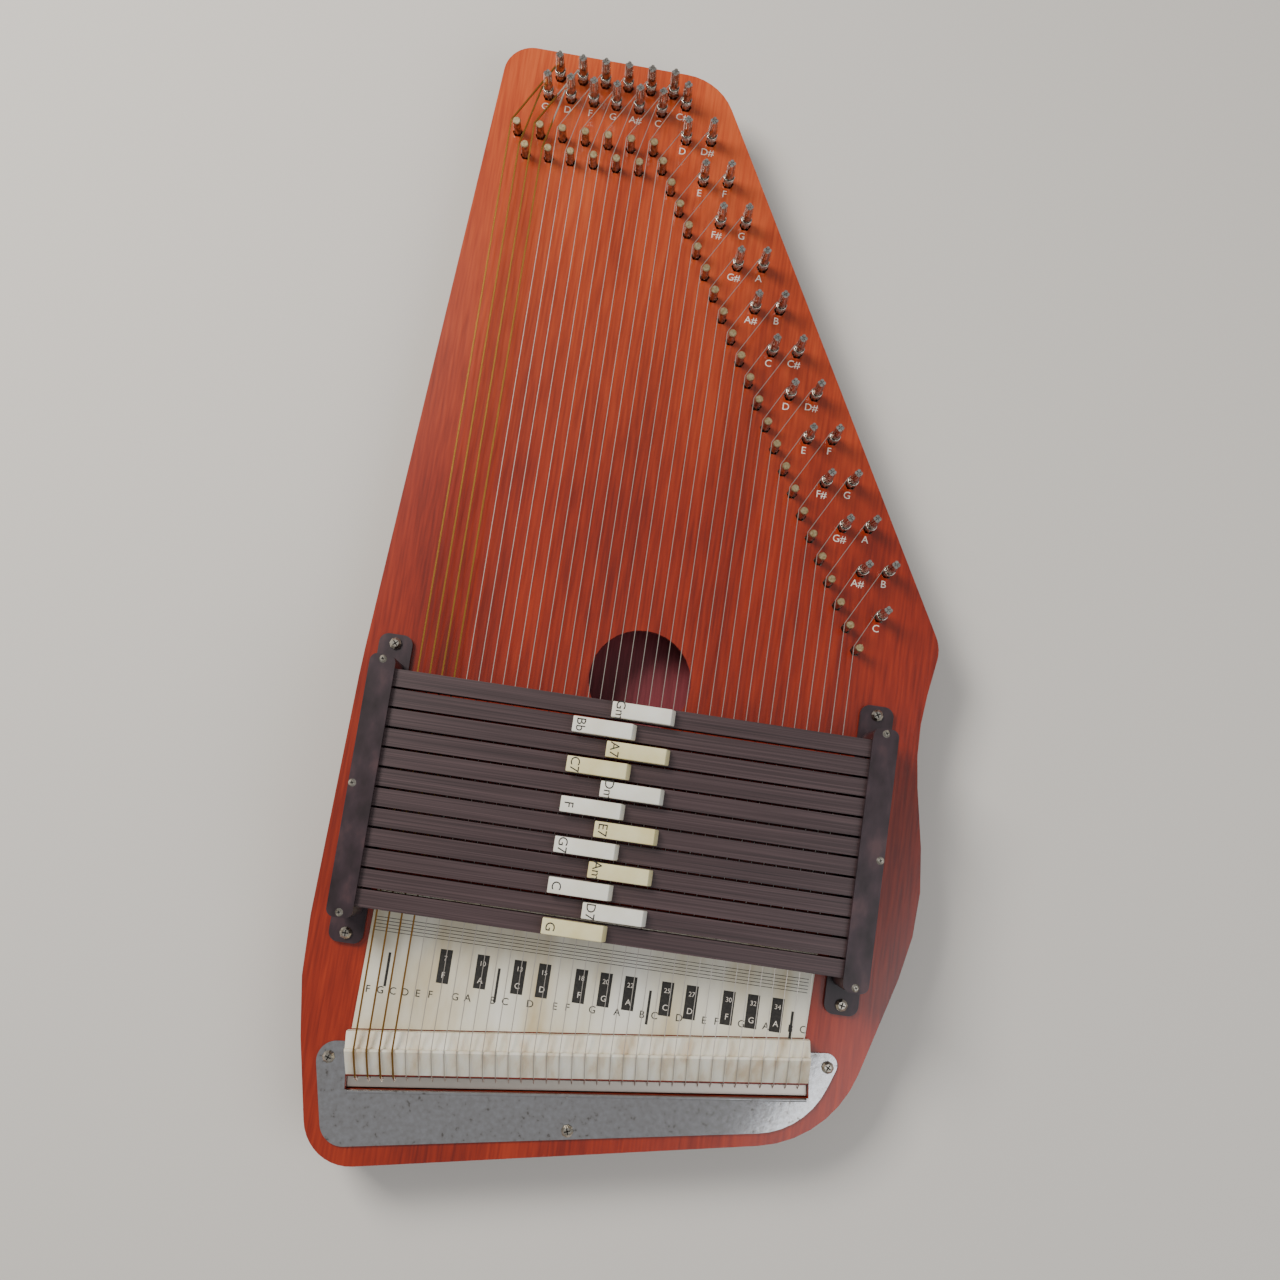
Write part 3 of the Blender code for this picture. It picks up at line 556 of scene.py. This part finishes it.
# Nickel plating polished by the tuning wrench.
CROWN_STOPS = ((0.3, "a59d92"), (0.7, "e4dfd6"))
crown_metal, _, _, _ = mottled("bright_nickel_pin_heads", 0.18, even(800), 2.0, CROWN_STOPS, 1.0)
petals = []
for i in STRINGS:
    x, y = tuning_pin(i)
    for dx, dy in ((1, 0), (0, 1), (-1, 0), (0, -1)):
        petals.append(turned(
            x + dx * PETAL_REACH, y + dy * PETAL_REACH, PIN_TOP - PETAL_DROP, PETAL_RADIUS, PETAL_HEIGHT, 10, 0.8))
join(petals, "tuning_pin_heads", crown_metal)
windings = []
for i in STRINGS:
    windings.append(coil(*tuning_pin(i), *WINDING_LEVELS, WINDING_RADIUS, WINDING_WIRE, WINDING_TURNS, "winding"))
join(windings, "string_windings", crown_metal)

# The guide pins are steel cylinders in the pin block that turn the strings toward the tuning pins.
# Their flat tops are brass-plated.
GUIDE_TOP = TOP_Z + 13 * MM
GUIDE_RADIUS = 2.2 * MM
GUIDE_CLEARANCE = 0.3 * MM
GUIDE_ROWS = (280, 292.6)
DIAGONAL_Y = 282.6
DIAGONAL_STEP = 11.35
LAST_WOUND = 4
WOUND_RADIUS = 0.6 * MM
PLAIN_RADIUS = 0.25 * MM


def guide_pin(i):
    """Where the guide pin of a string stands."""
    beside = GUIDE_RADIUS + GUIDE_CLEARANCE + (WOUND_RADIUS if i <= LAST_WOUND else PLAIN_RADIUS)
    y = DIAGONAL_Y - DIAGONAL_STEP * (i - FIRST_DIAGONAL) if i >= FIRST_DIAGONAL else GUIDE_ROWS[i % 2]
    return ORIGIN_X + (i - 1) * STRING_PITCH + beside, ORIGIN_Y + y * MM


BRASS_STOPS = ((0.3, "b89c6c"), (0.7, "e6d2a6"))
brass_top, _, _, _ = mottled("brass_plated_pin_tops", 0.3, even(800), 2.0, BRASS_STOPS, 1.0)
tops = [turned(*guide_pin(i), GUIDE_TOP, GUIDE_RADIUS, 0.5 * MM, 20, 0.82) for i in STRINGS]
join(tops, "guide_pin_tops", brass_top)

# Note letters are printed in white ink by the tuning pins, and in black ink on the chart.
# Chord letters are printed in black ink on the buttons, turned to read along the strings.
NOTES = "F G C D E F F# G A A# B C C# D D# E F F# G G# A A# B C C# D D# E F F# G G# A A# B C".split()
CHORD_NAMES = ("Gm", "Bb", "A7", "C7", "Dm", "F", "E7", "G7", "Am", "C", "D7", "G")
FRONT_MARKED = (2, 4, 6, 8, 10, 12, 13)
LETTER_DEPTH = 0.02 * MM
PIN_LETTER_SIZE = 5.6 * MM
PIN_LETTER_LEFT = 1.2 * MM
PIN_LETTER_BELOW = 6.5 * MM
PIN_LETTER_RISE = 0.05 * MM
CHART_PRINT_Z = chart_high.z + INK_RISE + 0.02 * MM
KEY_PRINT_Z = CHART_PRINT_Z + 0.05 * MM
CHART_LETTER_SIZE = 5.2 * MM
CHART_LETTER_RIGHT = 1.5 * MM
CHART_LETTER_Y = HOLE_Y - 176 * MM
CHART_LETTER_SLOPE = 0.05
KEY_LETTER_SIZE = 4.2 * MM
KEY_LETTER_BELOW = 4.5 * MM
KEY_NUMBER_SIZE = 3.4 * MM
KEY_NUMBER_ABOVE = 4 * MM
BUTTON_LETTER_SIZE = 6.6 * MM
BUTTON_LETTER_INSET = 4 * MM
BUTTON_LETTER_RISE = 0.03 * MM
# White ink, rubbed thin in places.
WHITE_STOPS = ((0.3, "cfc4b4"), (0.7, "f3ede2"))
white_ink, _, _, _ = mottled("white_printing_ink", 0.5, even(900), 2.0, WHITE_STOPS)


def letters(text, x, y, z, size, angle=0.0):
    """Printed characters centred on x, y."""
    clear_selection()
    bpy.ops.object.text_add(location=(x, y, z), rotation=(0, 0, angle))
    made = bpy.context.object
    made.data.body = text
    made.data.size = size
    made.data.extrude = LETTER_DEPTH
    made.data.resolution_u = 3
    made.data.align_x = "CENTER"
    made.data.align_y = "CENTER"
    bpy.ops.object.convert(target="MESH")
    return bpy.context.object


pin_letters = []
for i in STRINGS:
    if i >= FIRST_DIAGONAL or i in FRONT_MARKED:
        x, y = tuning_pin(i)
        pin_letters.append(letters(
            NOTES[i - 1], x - PIN_LETTER_LEFT, y - PIN_LETTER_BELOW, TOP_Z + PIN_LETTER_RISE, PIN_LETTER_SIZE))
join(pin_letters, "pin_letters", white_ink)
naturals = []
for i in STRINGS:
    if "#" not in NOTES[i - 1]:
        x = PRINT_X + (i - 1) * STRING_PITCH
        y = CHART_LETTER_Y + CHART_LETTER_SLOPE * (x - PRINT_X)
        naturals.append(letters(NOTES[i - 1], x + CHART_LETTER_RIGHT, y, CHART_PRINT_Z, CHART_LETTER_SIZE))
join(naturals, "chart_letters", black_ink)
key_marks = []
for key in KEYS:
    x = PRINT_X + key * STRING_PITCH
    key_marks.append(letters(NOTES[key][0], x, KEY_Y - KEY_LETTER_BELOW, KEY_PRINT_Z, KEY_LETTER_SIZE))
    key_marks.append(letters(str(key + 1), x, KEY_Y + KEY_NUMBER_ABOVE, KEY_PRINT_Z, KEY_NUMBER_SIZE))
join(key_marks, "key_marks", white_ink)
for name, text in zip(CHORDS, CHORD_NAMES):
    low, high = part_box("button_" + name)
    x, y, z = low.x + BUTTON_LETTER_INSET, (low.y + high.y) / 2, high.z + BUTTON_LETTER_RISE
    word = letters(text, x, y, z, BUTTON_LETTER_SIZE, -QUARTER)
    join([word], "button_letter_" + name, black_ink, "bar_" + name)

# The plate's edge is rolled into a bright chromed lip along the groove's tail side.
# It is part of the plate, so it has the plate's finish.
SKEW = math.radians(6.9)
CREST_Y = ORIGIN_Y - 205.2 * MM
LIP_RADIUS = 0.9 * MM
LIP_LENGTH = 232 * MM
LIP_BEHIND_CREST = 21.3 * MM
along_bridge = LAST_STRING / 2
lip = turned(0, 0, 0, LIP_RADIUS, LIP_LENGTH, 16)
lip.rotation_euler = (0, QUARTER, SKEW)
lip.location = (
    ORIGIN_X + along_bridge + math.sin(SKEW) * LIP_BEHIND_CREST,
    CREST_Y + math.sin(SKEW) * along_bridge - math.cos(SKEW) * LIP_BEHIND_CREST,
    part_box("tailpiece_plate")[1].z)
join([lip], "plate_lip", worn_chrome)

# The feet are black moulded rubber, glued under the back.
# Their surface is matt and faintly dusty.
RUBBER_STOPS = ((0.3, "141414"), (0.7, "2a2826"))
foot_rubber, _, _, _ = mottled("black_foot_rubber", 0.8, even(500), 3.0, RUBBER_STOPS)
dress([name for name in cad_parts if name.startswith("foot_")], foot_rubber)

# The floor is plain and pale, under soft studio light.
# The camera looks down on the front of the instrument at the photograph's angle.
FLOOR_SIZE = 6
STRINGS_Z = TOP_Z + 11 * MM
FOCAL_PIXELS = 1416.6
PHOTO_PIXELS = 1280
SENSOR = 36
TURNS = [math.radians(a) for a in (-7.984, 0.749, -8.526)]
SHIFT = Vector((-127.441, -94.751, -720.45)) * MM
HOLE_IN_FIT = 93.579 * MM
LIGHTS = (
    ("key_light", (-0.9, 0.55, 1.2), 0.6, 24, (1.0, 0.97, 0.93)),
    ("fill_light", (0.9, -0.5, 1.3), 1.2, 9, (0.93, 0.96, 1.0)),
)
clear_selection()
bpy.ops.mesh.primitive_plane_add(size=FLOOR_SIZE, location=(0, 0, 0))
floor = bpy.context.object
floor.name = "floor"
pale_floor, shader, tree = new_finish("pale_floor", 0.8)
shader.inputs["Base Color"].default_value = srgb("d8d3cb")
floor.data.materials.append(pale_floor)

turn_x, turn_y, turn_z = (Matrix.Rotation(angle, 3, axis) for angle, axis in zip(TURNS, "XYZ"))
turn = turn_z @ turn_y @ turn_x
eye = -(turn.transposed() @ SHIFT)
camera = bpy.data.objects.new("camera", bpy.data.cameras.new("camera"))
bpy.context.scene.collection.objects.link(camera)
camera.data.sensor_width = SENSOR
camera.data.lens = SENSOR * FOCAL_PIXELS / PHOTO_PIXELS
camera_place = Vector((PRINT_X + eye.x, HOLE_Y + eye.y - HOLE_IN_FIT, STRINGS_Z + eye.z))
camera.matrix_world = Matrix.Translation(camera_place) @ turn.transposed().to_4x4()
bpy.context.scene.camera = camera

for name, stand, size, power, colour in LIGHTS:
    lamp = bpy.data.lights.new(name, "AREA")
    lamp.size = size
    lamp.energy = power
    lamp.color = colour
    light = bpy.data.objects.new(name, lamp)
    bpy.context.scene.collection.objects.link(light)
    light.location = stand
    light.rotation_euler = (-Vector(stand)).to_track_quat("-Z", "Y").to_euler()
world = bpy.data.worlds.new("studio")
bpy.context.scene.world = world
world.use_nodes = True
world.node_tree.nodes["Background"].inputs["Color"].default_value = srgb("e6e6e8")
world.node_tree.nodes["Background"].inputs["Strength"].default_value = 0.45
